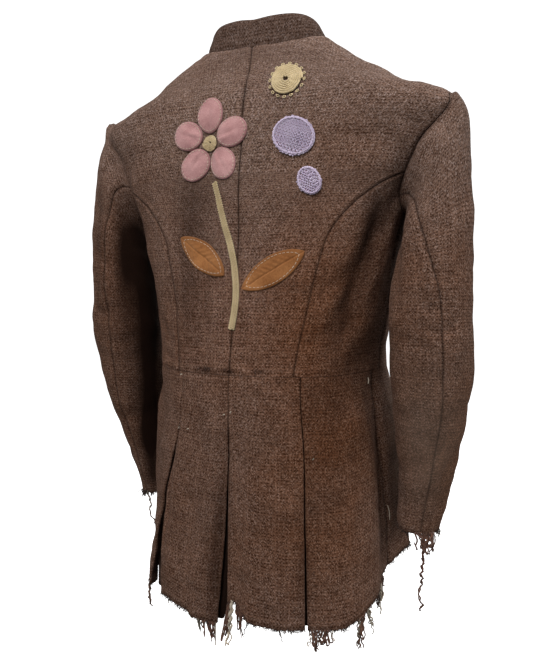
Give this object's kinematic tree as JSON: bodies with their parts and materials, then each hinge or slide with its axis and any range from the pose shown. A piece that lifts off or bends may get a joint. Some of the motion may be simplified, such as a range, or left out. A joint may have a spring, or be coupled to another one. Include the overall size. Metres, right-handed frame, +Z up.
{
  "type": "military jacket",
  "caption": "Fitted wool military jacket with a stand collar, curved sleeves, sewn-on floral cut-outs on the back and a pleated skirt with a torn, frayed hem.",
  "frame": {"origin": "middle of the neck opening, at the height of the nape", "axes": "+Z up, the front faces -Y and the wearer's left is +X"},
  "size_m": [0.5483, 0.2844, 0.7974],
  "materials": {
    "wool": "matt brown heathered wool with a small check weave",
    "torn_wool": "frayed dark brown wool threads",
    "horn": "dark polished horn",
    "pink_cloth": "dusty pink felted wool",
    "suede": "tan suede",
    "lilac_knit": "lilac knitted mesh",
    "gold_braid": "pale gold braid and crochet"
  },
  "bodies": {
    "root": {"applique_bud_large": "lilac_knit", "applique_bud_small": "lilac_knit", "applique_flower_center": "gold_braid", "applique_leaf_left": "suede", "applique_leaf_right": "suede", "applique_petal_1": "pink_cloth", "applique_petal_2": "pink_cloth", "applique_petal_3": "pink_cloth", "applique_petal_4": "pink_cloth", "applique_petal_5": "pink_cloth", "applique_rosette": "gold_braid", "applique_stem": "gold_braid", "back_left": "wool", "back_right": "wool", "button_1": "horn", "button_2": "horn", "button_3": "horn", "button_4": "horn", "button_5": "horn", "button_6": "horn", "collar": "wool", "cuff_fray_left": "torn_wool", "cuff_fray_right": "torn_wool", "front_left": "wool", "front_right": "wool", "hem_fray_back_left": "torn_wool", "hem_fray_back_right": "torn_wool", "hem_fray_front_left": "torn_wool", "hem_fray_front_right": "torn_wool", "hem_fray_side_left": "torn_wool", "hem_fray_side_right": "torn_wool", "pleat_under_center": "wool", "pleat_under_left": "wool", "pleat_under_right": "wool", "side_back_left": "wool", "side_back_right": "wool", "skirt_back_left": "wool", "skirt_back_right": "wool", "skirt_front_left": "wool", "skirt_front_right": "wool", "skirt_side_left": "wool", "skirt_side_right": "wool", "sleeve_under_left": "wool", "sleeve_under_right": "wool", "sleeve_upper_left": "wool", "sleeve_upper_right": "wool"}
  },
  "joints": []
}
